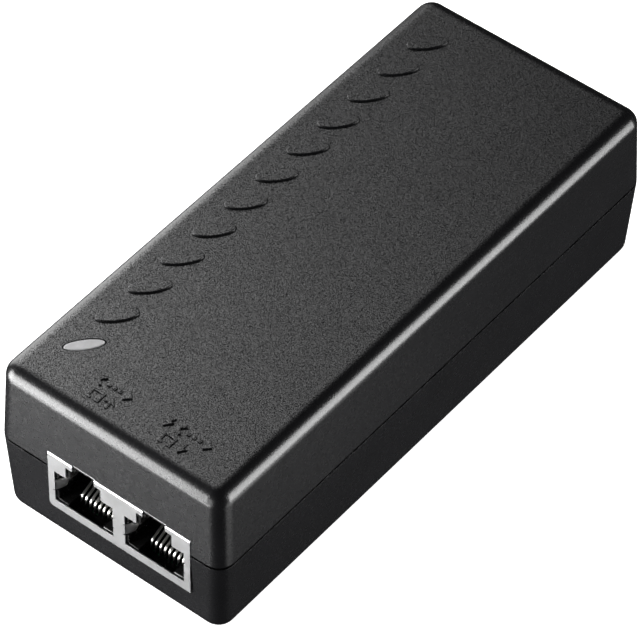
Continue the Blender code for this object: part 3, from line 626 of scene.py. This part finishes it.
def jack_window():
    return box("jack_window",
               (SHIELD_LOW.x - WINDOW_GAP, FRONT_Y - 2 * MM, SHIELD_LOW.z - WINDOW_GAP),
               (SHIELD_HIGH.x + WINDOW_GAP, FRONT_Y + 4 * MM, SHIELD_HIGH.z + WINDOW_TOP_GAP))


def inlet_window():
    return box("inlet_window",
               (INLET_LOW.x - WINDOW_GAP, BACK_Y - 4 * MM, INLET_LOW.z - WINDOW_GAP),
               (INLET_HIGH.x + WINDOW_GAP, BACK_Y + 2 * MM, INLET_HIGH.z + WINDOW_GAP))


def raised_oval(name, centre, half, foot, top, edge):
    """An oval button with a slight draft and a rounded rim."""
    loops = [oval_loop(centre, half, foot), oval_loop(centre, half, TOP_Z)]
    for share in arc_steps(6):
        angle = math.pi / 2 * share
        shrink = 0.05 * MM + edge * (1 - math.cos(angle))
        loops.append(oval_loop(centre, (half[0] - shrink, half[1] - shrink),
                               top - edge + edge * math.sin(angle)))
    shrink += 0.12 * MM
    loops.append(oval_loop(centre, (half[0] - shrink, half[1] - shrink), top))
    return loft(name, loops)


def symbol_outlines():
    """The plain marks over the two ports.

    Each port has a network sign, and below it a socket with an arrow in or out. The powered port
    also has a bolt.
    """
    marks = []

    def put(outline, x, y, side=1, way=1):
        marks.append([(x + side * u * MM, y + way * v * MM) for u, v in outline])

    for port, way, with_power in (("in", 1, False), ("out", -1, True)):
        x = PORTS[port]
        centre = x + (NETWORK_SHIFT if with_power else 0.0)
        put(CHEVRON, centre, UPPER_ROW)
        put(CHEVRON, centre, UPPER_ROW, side=-1)
        for number in (-1, 0, 1):
            put(DOT, centre + number * DOT_PITCH * MM, UPPER_ROW)
        if with_power:
            put(BOLT, x + BOLT_SHIFT, UPPER_ROW)
        put(SOCKET, x + SOCKET_SHIFT, LOWER_ROW)
        put(ARROW, x + ARROW_SHIFT, LOWER_ROW, way=way)
    return marks


def upper_shell(mat, dark):
    """The top with its ovals and symbols, and the windows and the lens's slot cut through it."""
    z_edge = SEAM_Z + SEAM_HALF_GAP
    rebate = SEAM_Z + TONGUE_UP + TONGUE_ROOM
    inner = [(WALL + 2 * MM, CORNER_R, ROOF_Z), (WALL + TOP_INSET, WALL, ROOF_Z),
             (WALL, WALL, rebate), (REBATE_OUT, REBATE_OUT, rebate)]
    profile = inner + seam_edge(z_edge, 1, REBATE_OUT)
    profile += side_profile(z_edge, TOP_Z, TOP_INSET, TOP_EDGE_R)
    shell = loft("upper_shell", shell_loops(profile))
    slot_half = (LENS_HALF[0] + LENS_GAP, LENS_HALF[1] + LENS_GAP)
    slot = loft("lens_slot", [oval_loop(LENS_CENTRE, slot_half, ROOF_Z - PAST),
                              oval_loop(LENS_CENTRE, slot_half, TOP_Z + PAST)])
    cut(shell, jack_window(), inlet_window(), slot)
    ovals = []
    for number in range(1, OVAL_COUNT + 1):
        place = (LENS_CENTRE[0], LENS_CENTRE[1] + number * OVAL_PITCH)
        ovals.append(raised_oval(f"oval_{number}", place, OVAL_HALF,
                                 TOP_Z - OVAL_FOOT, TOP_Z + OVAL_RISE, OVAL_EDGE))
    join(shell, *ovals)
    marks = [prism(f"mark_{i}", points, TOP_Z - SYMBOL_FOOT, TOP_Z + SYMBOL_RISE, along_z)
             for i, points in enumerate(symbol_outlines())]
    for mark in marks:
        round_edges(mark, [(lambda p: p.z > TOP_Z, SYMBOL_ROUND, 3)])
    join(shell, *marks)
    smooth(shell)
    set_material(shell, mat)
    # painted shade on the level faces inside the seam
    shade_seam(shell, dark)
    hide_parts("upper_case")
    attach(shell, "root")


def lower_shell(mat, dark):
    """The base, with the tongue that stands inside the upper shell's rebate."""
    z_edge = SEAM_Z - SEAM_HALF_GAP
    inner = [(WALL + BASE_INSET + 2 * MM, CORNER_R, WALL), (WALL + BASE_INSET, WALL, WALL),
             (WALL, WALL, z_edge), (WALL, WALL, SEAM_Z + TONGUE_UP),
             (TONGUE_OUT, TONGUE_OUT, SEAM_Z + TONGUE_UP)]
    profile = inner + seam_edge(z_edge, -1, TONGUE_OUT)
    profile += side_profile(z_edge, 0.0, BASE_INSET, BASE_EDGE_R)
    shell = loft("lower_shell", shell_loops(profile))
    cut(shell, jack_window(), inlet_window())
    smooth(shell)
    set_material(shell, mat)
    # painted shade on the level faces inside the seam
    shade_seam(shell, dark)
    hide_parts("lower_case")
    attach(shell, "root")


def lens_and_pipe(mat):
    """The lens in its slot, its flange under the roof, and the tapering pipe down to the lamp."""
    lens = raised_oval("lens_pipe", LENS_CENTRE, LENS_HALF,
                       ROOF_Z - LENS_FOOT, TOP_Z + LENS_RISE, LENS_EDGE)
    flange = (LENS_HALF[0] + FLANGE_OUT, LENS_HALF[1] + FLANGE_OUT)
    collar = loft("collar", [oval_loop(LENS_CENTRE, flange, ROOF_Z - down) for down in FLANGE_SPAN])
    rings = []
    for share in arc_steps(8):
        z = LENS_LOW.z + (ROOF_Z - PIPE_TOP - LENS_LOW.z) * share
        radius = PIPE_R + PIPE_FLARE * share ** 2
        rings.append(oval_loop(LENS_CENTRE, (radius, radius), z, steps=32))
    join(lens, collar, loft("pipe", rings))
    smooth(lens)
    set_material(lens, mat)
    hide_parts("led_light_pipe")
    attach(lens, "root")


# ================================================================ twin jack

def port_outline(x, width, low, high, step_w, step_top, notch_w, notch_top):
    """A port's outline: the plug's window with two narrower steps above it for the latch."""
    half = [(width / 2, low), (width / 2, high), (step_w / 2, high), (step_w / 2, step_top),
            (notch_w / 2, step_top), (notch_w / 2, notch_top)]
    return [(x + u, z) for u, z in half] + [(x - u, z) for u, z in reversed(half)]


def shield_spring(name, port_x, side):
    """A tongue of the sheet that rolls back into the port and ends in a round tip."""
    bm = bmesh.new()
    rows, columns = 14, 10
    middle = (SPRING_Z[0] + SPRING_Z[1]) / 2
    half = (SPRING_Z[1] - SPRING_Z[0]) / 2 - SPRING_MARGIN
    edge = PORT_W / 2
    grid = []
    for i in range(rows + 1):
        s = i / rows
        # reaches its full height at 0.8 of its length, and curls back from there
        curl = SPRING_CURL * max(0.0, s - 0.8) / 0.2
        reach = SPRING_IN * math.sin(math.pi / 2 * min(s * 1.25, 1.0)) - curl
        depth = SHEET / 2 + (SPRING_DEPTH - SHEET) * s ** 1.1
        # keeps its width to 0.55 of its length, and then narrows to a fifth of it
        narrowing = max(0.0, (s - 0.55) / 0.45) ** 2.6
        width = half * math.sqrt(max(0.0, 1.0 - narrowing) * 0.96 + 0.04)
        line = []
        for j in range(columns + 1):
            across = -1 + 2 * j / columns
            crown = SPRING_CROWN * (1 - across * across) * min(1.0, 2 * s)
            u = edge + SPRING_LAP * (1 - s) - reach - crown
            line.append(bm.verts.new((port_x + side * u, FRONT_Y + depth, middle + across * width)))
        grid.append(line)
    for i in range(rows):
        for j in range(columns):
            bm.faces.new((grid[i][j], grid[i + 1][j], grid[i + 1][j + 1], grid[i][j + 1]))
    made = from_bmesh(name, bm)
    thick = made.modifiers.new("thickness", "SOLIDIFY")
    thick.thickness = SPRING_THICK
    thick.offset = 0.0
    return settle(made)


def is_spring(point):
    """Whether a point of the shield lies on one of its springs, behind the front sheet."""
    if not SPRING_START < point.y - FRONT_Y < SPRING_DEPTH + 0.3 * MM:
        return False
    return any(abs(abs(point.x - x) - PORT_W / 2) < SPRING_REACH for x in PORTS.values())


def port_shield(mat, spring_painted_light_mat):
    """The folded sheet round the jack, with stepped windows and springs."""
    low, high = SHIELD_LOW, SHIELD_HIGH
    shield = box("port_shield", low, high)
    round_edges(shield, [
        (lambda p: abs(p.y - low.y) < NEAR and abs(p.z - high.z) < NEAR, SHIELD_TOP_R, 5),
        (lambda p: abs(p.x - low.x) < NEAR and abs(p.z - low.z) < NEAR, SHIELD_SIDE_R, 6),
    ])
    hollow = box("hollow", (low.x + SHEET, low.y + SHEET, low.z - PAST),
                 (high.x - SHEET, high.y - SHEET, high.z - SHEET))
    cutters = [hollow]
    for name, x in PORTS.items():
        window = port_outline(x, PORT_W, *PORT_Z, STEP_W, STEP_TOP, NOTCH_W, high.z + PAST)
        cutters.append(prism(f"window_{name}", window, low.y - PAST, low.y + NOTCH_DEPTH, along_y))
        for side in (-1, 1):
            edge = x + side * PORT_W / 2
            for z in SPRING_Z:
                cutters.append(box(f"slit_{name}_{side}_{z:.4f}",
                                   (edge - SLIT_HALF[0], low.y - PAST, z - SLIT_HALF[1]),
                                   (edge + SLIT_HALF[0], low.y + SLIT_DEPTH, z + SLIT_HALF[1])))
    cut(shield, *cutters)
    soften(shield, 0.05 * MM, 2, 50)
    springs = []
    for name, x in PORTS.items():
        for side in (-1, 1):
            springs.append(shield_spring(f"spring_{name}_{side}", x, side))
    join(shield, *springs)
    smooth(shield)
    set_material(shield, mat)
    # The springs are the same sheet as the shield, painted lighter and made rougher: the lighter
    # colour is painted light for the light that falls on them inside the ports.
    shield.data.materials.append(spring_painted_light_mat)
    for face in shield.data.polygons:
        if SPRING_Z[0] < face.center.z < SPRING_Z[1] and is_spring(face.center):
            face.material_index = 1
    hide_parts("jack_shield")
    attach(shield, "root")


def port_body(mat):
    """The moulded jack body: stepped cavities, contact wells, and combs that guide the wires."""
    low, high = HOUSING_LOW, HOUSING_HIGH
    body = box("port_body", low, high)
    cutters, ribs = [], []
    for name, x in PORTS.items():
        outline = port_outline(x, CAVITY_W, *CAVITY_Z,
                               LATCH_W, LATCH_TOP, LATCH_SLOT_W, LATCH_SLOT_TOP)
        cutters.append(prism(f"cavity_{name}", outline,
                             low.y - PAST, FRONT_Y + CAVITY_DEPTH, along_y))
        mouth = CAVITY_W / 2 + MOUTH_OUT
        cutters.append(box(f"mouth_{name}", (x - mouth, low.y - PAST, MOUTH_FLOOR),
                           (x + mouth, FRONT_Y + MOUTH_DEPTH, CAVITY_Z[1] + MOUTH_OUT)))
        well = low.z + WELL_FLOOR
        cutters.append(box(f"well_{name}", (x - COMB_HALF, low.y - PAST, well),
                           (x + COMB_HALF, FRONT_Y + CAVITY_DEPTH - 0.3 * MM,
                            CAVITY_Z[0] + 0.5 * MM)))
        legs = FRONT_Y + CONTACT_DEPTH
        cutters.append(box(f"slot_{name}",
                           (x - COMB_HALF + 0.1 * MM, legs - 0.6 * MM, low.z - PAST),
                           (x + COMB_HALF - 0.1 * MM, legs + 0.7 * MM, well + 0.2 * MM)))
        relief = PORT_W / 2 + RELIEF_OUT
        cutters.append(box(f"relief_{name}", (x - relief, low.y - PAST, SPRING_Z[0] - 0.3 * MM),
                           (x + relief, FRONT_Y + SPRING_DEPTH + 0.6 * MM, SPRING_Z[1] + 0.3 * MM)))
        pitch = contact_pitch(name)
        for number in range(CONTACTS + 1):
            rib_x = x + (number - CONTACTS / 2) * pitch
            for part, y0, y1, z0, z1 in RIBS:
                ribs.append(box(f"rib_{name}_{number}_{part}",
                                (rib_x - RIB_HALF, FRONT_Y + y0 * MM, z0 * MM),
                                (rib_x + RIB_HALF, FRONT_Y + y1 * MM, z1 * MM)))
    cut(body, *cutters)
    mouth_y = FRONT_Y + MOUTH_DEPTH
    round_edges(body, [(lambda p: abs(p.z - CAVITY_Z[0]) < NEAR and abs(p.y - mouth_y) < NEAR,
                        MOUTH_R, 5)])
    soften(body, 0.1 * MM, 2, 50)
    join(body, *ribs)
    smooth(body)
    set_material(body, mat)
    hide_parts("jack_housing")
    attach(body, "root")


def contact_pitch(port):
    """The distance from one contact wire of a port to the next."""
    first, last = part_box(f"contact_{port}_1"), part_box(f"contact_{port}_{CONTACTS}")
    return (last[0].x - first[0].x) / (CONTACTS - 1)


def wire_route(foot):
    """A wire's centreline as (depth, height, way it faces): leg, front bend, arm, hooked tip."""
    centre = (CONTACT_DEPTH + BEND_R, BEND_Z)
    route = [(CONTACT_DEPTH, z, math.pi) for z in (foot, (foot + BEND_Z) / 2)]
    end_angle = math.pi / 2 + ARM_RISE
    for share in arc_steps(10):
        angle = math.pi + (end_angle - math.pi) * share
        route.append((centre[0] + BEND_R * math.cos(angle),
                      centre[1] + BEND_R * math.sin(angle), angle))
    start = route[-1]
    for share in (0.33, 0.66, 0.93):
        route.append((start[0] + ARM_LENGTH * share * math.cos(ARM_RISE),
                      start[1] + ARM_LENGTH * share * math.sin(ARM_RISE), end_angle))
    end = route[-1]
    route.append((end[0] + WIRE_HOOK[0], end[1] + WIRE_HOOK[1], math.pi / 2))
    return route


def wire_section():
    """A flat wire's section with round corners: (across, outward)."""
    return [(x, y) for x, y, _ in rounded_rectangle(*WIRE_HALF, WIRE_ROUND, 0.0, steps=3)]


def contact_wires(mat):
    """The sixteen spring wires; each port's eight ride on one body."""
    section = wire_section()
    for port in PORTS:
        for number in range(1, CONTACTS + 1):
            low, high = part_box(f"contact_{port}_{number}")
            x = (low.x + high.x) / 2
            rings = []
            for depth, height, angle in wire_route(low.z):
                out_y, out_z = math.cos(angle), math.sin(angle)
                rings.append([(x + across, FRONT_Y + depth + out_y * up, height + out_z * up)
                              for across, up in section])
            wire = loft(f"wire_{port}_{number}", rings)
            smooth(wire, weighted=False)
            set_material(wire, mat)
            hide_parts(f"contact_{port}_{number}")
            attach(wire, f"contacts_{port}")


# ================================================================ mains inlet

def inlet_outline(half_w, low, high, chamfer):
    """A box's outline with its two upper corners cut off."""
    return [(-half_w, low), (half_w, low), (half_w, high - chamfer), (half_w - chamfer, high),
            (-half_w + chamfer, high), (-half_w, high - chamfer)]


def inlet_shell(mat):
    """The recessed inlet, with a collar and a hole for each pin in its back wall."""
    low, high = INLET_LOW, INLET_HIGH
    half = (high.x - low.x) / 2
    body = prism("inlet_shell", inlet_outline(half, low.z, high.z, INLET_OUTER_CHAMFER),
                 low.y, high.y, along_y)
    wall = INLET_WALL
    back = high.y - INLET_CAVITY_DEPTH
    mouth = prism("mouth", inlet_outline(half - wall, low.z + wall, high.z - wall, INLET_CHAMFER),
                  back, high.y + PAST, along_y)
    holes, collars = [], []
    for pin in PINS:
        pin_low, pin_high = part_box(pin)
        top = pin_high.z
        x = (pin_low.x + pin_high.x) / 2
        holes.append(box(f"hole_{pin}",
                         (pin_low.x - PIN_GAP, low.y - PAST, top - PIN_HEIGHT - PIN_GAP),
                         (pin_high.x + PIN_GAP, high.y - PIN_HOLE_END, top + PIN_GAP)))
        collars.append(box(f"collar_{pin}",
                           (x - COLLAR_HALF, back - COLLAR_DEPTH[0], top - COLLAR_Z[0]),
                           (x + COLLAR_HALF, back + COLLAR_DEPTH[1], top + COLLAR_Z[1])))
    cut(body, mouth)
    join(body, *collars)
    cut(body, *holes)
    soften(body, 0.25 * MM, 3, 40)
    smooth(body)
    set_material(body, mat)
    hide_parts("inlet_body")
    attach(body, "root")


def inlet_blades(mat):
    """The three pins, with rounded edges and tapered tips."""
    long, tall = PIN_TAPER
    for pin in PINS:
        low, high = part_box(pin)
        bottom = high.z - PIN_HEIGHT
        points = [(low.y, low.z), (low.y + PIN_TAIL, low.z), (low.y + PIN_TAIL, bottom),
                  (high.y - long, bottom), (high.y, bottom + tall), (high.y, high.z - tall),
                  (high.y - long, high.z), (low.y, high.z)]
        blade = prism(pin.replace("_pin", "_blade"), points, low.x, high.x, along_x)
        soften(blade, 0.3 * MM, 4, 40)
        smooth(blade)
        set_material(blade, mat)
        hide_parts(pin)
        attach(blade, "root")


# ================================================================ board parts inside the case

def inner_materials():
    """Finishes for the CAD parts that stand on the board and stay as they are."""
    black = smooth_plastic("moulded_epoxy", (0.012, 0.012, 0.013), 0.5)
    sleeve = smooth_plastic("capacitor_sleeve", (0.01, 0.012, 0.05), 0.3)
    plate = satin_metal("heat_sink_plate", (0.78, 0.78, 0.79), 0.35, (1, 8, 1))
    ferrite = grained_plastic("sintered_ferrite", (0.03, 0.03, 0.033), 0.6, 0.2 * MM, 0.008 * MM)[0]
    return {
        "main_board": board_laminate("solder_mask"),
        "insulating_sheet": grained_plastic("fibre_sheet", (0.6, 0.57, 0.48), 0.7, 0.5 * MM)[0],
        "status_led": smooth_plastic("lamp_epoxy", (0.1, 0.45, 0.15), 0.2),
        "data_transformer": black, "output_rectifier": black, "optocoupler": black,
        "switching_transistor": black, "bridge_rectifier": black,
        "output_capacitor_1": sleeve, "output_capacitor_2": sleeve, "bulk_capacitor": sleeve,
        "output_heat_sink": plate, "primary_heat_sink": plate,
        "y_capacitor": smooth_plastic("ceramic_coat", (0.05, 0.2, 0.5), 0.35),
        "x_capacitor": smooth_plastic("film_case", (0.65, 0.45, 0.05), 0.35),
        "fuse": smooth_plastic("fuse_case", (0.4, 0.25, 0.12), 0.45),
        "transformer_core": ferrite, "choke_core": ferrite,
        "transformer_bobbin": smooth_plastic("winding_tape", (0.7, 0.5, 0.06), 0.4),
        "choke_winding": satin_metal("enamelled_copper", (0.72, 0.33, 0.13), 0.3, (1, 1, 12)),
    }


def paint_inner_parts():
    for node, mat in inner_materials().items():
        set_material(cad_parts[node], mat)


# ================================================================ stage, light and camera

def view_axes():
    """Right, up and back of the camera."""
    a, e, r = VIEW_AZIMUTH, VIEW_ELEVATION, VIEW_ROLL
    right = Vector((math.cos(a), math.sin(a), 0.0))
    back = Vector((math.sin(a) * math.cos(e), -math.cos(a) * math.cos(e), math.sin(e)))
    up = back.cross(right)
    return math.cos(r) * right + math.sin(r) * up, math.cos(r) * up - math.sin(r) * right, back


def camera():
    right, up, back = view_axes()
    data = bpy.data.cameras.new("view")
    data.sensor_width = 36.0
    data.lens = LENS_MM
    data.clip_start = 0.05
    data.clip_end = 50.0
    made = new_object("view", data)
    turn = Matrix((right, up, back)).transposed().to_4x4()
    made.matrix_world = Matrix.Translation(VIEW_TARGET + back * VIEW_DISTANCE) @ turn
    bpy.context.scene.camera = made


def softbox(name, azimuth, elevation, distance, size, radiance):
    """A rectangular light of even brightness that faces the object."""
    data = bpy.data.lights.new(name, "AREA")
    data.shape = "RECTANGLE"
    data.size, data.size_y = size
    data.energy = radiance * 4 * size[0] * size[1]
    made = new_object(name, data)
    a, e = math.radians(azimuth), math.radians(elevation)
    direction = Vector((math.cos(a) * math.cos(e), math.sin(a) * math.cos(e), math.sin(e)))
    made.location = LIGHT_AIM + direction * distance
    made.rotation_euler = direction.to_track_quat("Z", "Y").to_euler()
    made.visible_camera = False


def stage():
    """A pale floor that the camera sees, lit evenly, and the lights round the object."""
    floor = loft("floor", [rounded_rectangle(FLOOR_HALF, FLOOR_HALF, FLOOR_CORNER, z)
                           for z in (-FLOOR_THICK, 0.0)])
    mat, shader = base_material("floor_white", (0.9, 0.9, 0.9), 0.9)
    shader.inputs["Emission Color"].default_value = (1.0, 1.0, 1.0, 1.0)
    shader.inputs["Emission Strength"].default_value = 0.95
    floor.data.materials.append(mat)
    floor.visible_diffuse = False
    floor.visible_glossy = False
    floor.visible_shadow = False

    world = bpy.data.worlds.new("studio")
    bpy.context.scene.world = world
    world.use_nodes = True
    nodes, links = world.node_tree.nodes, world.node_tree.links
    backdrop = nodes["Background"]
    backdrop.inputs["Color"].default_value = (1, 1, 1, 1)
    backdrop.inputs["Strength"].default_value = 1.0
    fill = nodes.new("ShaderNodeBackground")
    fill.inputs["Color"].default_value = (0.98, 0.98, 1.0, 1)
    fill.inputs["Strength"].default_value = 0.025
    seen = nodes.new("ShaderNodeLightPath")
    mix = nodes.new("ShaderNodeMixShader")
    links.new(seen.outputs["Is Camera Ray"], mix.inputs[0])
    links.new(fill.outputs[0], mix.inputs[1])
    links.new(backdrop.outputs[0], mix.inputs[2])
    links.new(mix.outputs[0], nodes["World Output"].inputs["Surface"])

    for name, values in SOFTBOXES.items():
        softbox(name, *values)


def main():
    bpy.context.scene.view_settings.view_transform = "Standard"
    grained = grained_plastic("case_plastic", (0.004, 0.004, 0.0045), 0.27, 0.3 * MM, 0.02 * MM)
    case = leather_top(*grained, 0.16 * MM, 0.08, 0.47)
    # painted shade for the faces inside the seam's gap
    dark = painted_seam_shade()
    upper_shell(case, dark)
    lower_shell(case, dark)
    lens_and_pipe(milky_lens("lens", (0.47, 0.47, 0.475)))
    # the second metal is the shield's sheet painted lighter for the springs, as painted light
    port_shield(satin_metal("shield_sheet", (0.63, 0.63, 0.635), 0.32, (1, 1, 1), 0.0006 * MM),
                satin_metal("spring_sheet_painted_light", (0.78, 0.78, 0.785), 0.42, (1, 1, 1), 0.0006 * MM))
    port_body(smooth_plastic("jack_plastic", (0.006, 0.006, 0.006), 0.24))
    contact_wires(satin_metal("plated_wire", (0.9, 0.88, 0.84), 0.3, (1, 1, 1), 0.0005 * MM))
    inlet_shell(smooth_plastic("inlet_plastic", (0.008, 0.008, 0.008), 0.4))
    inlet_blades(satin_metal("nickel_pin", (0.78, 0.76, 0.72), 0.25, (1, 6, 1)))
    paint_inner_parts()
    camera()
    stage()


main()
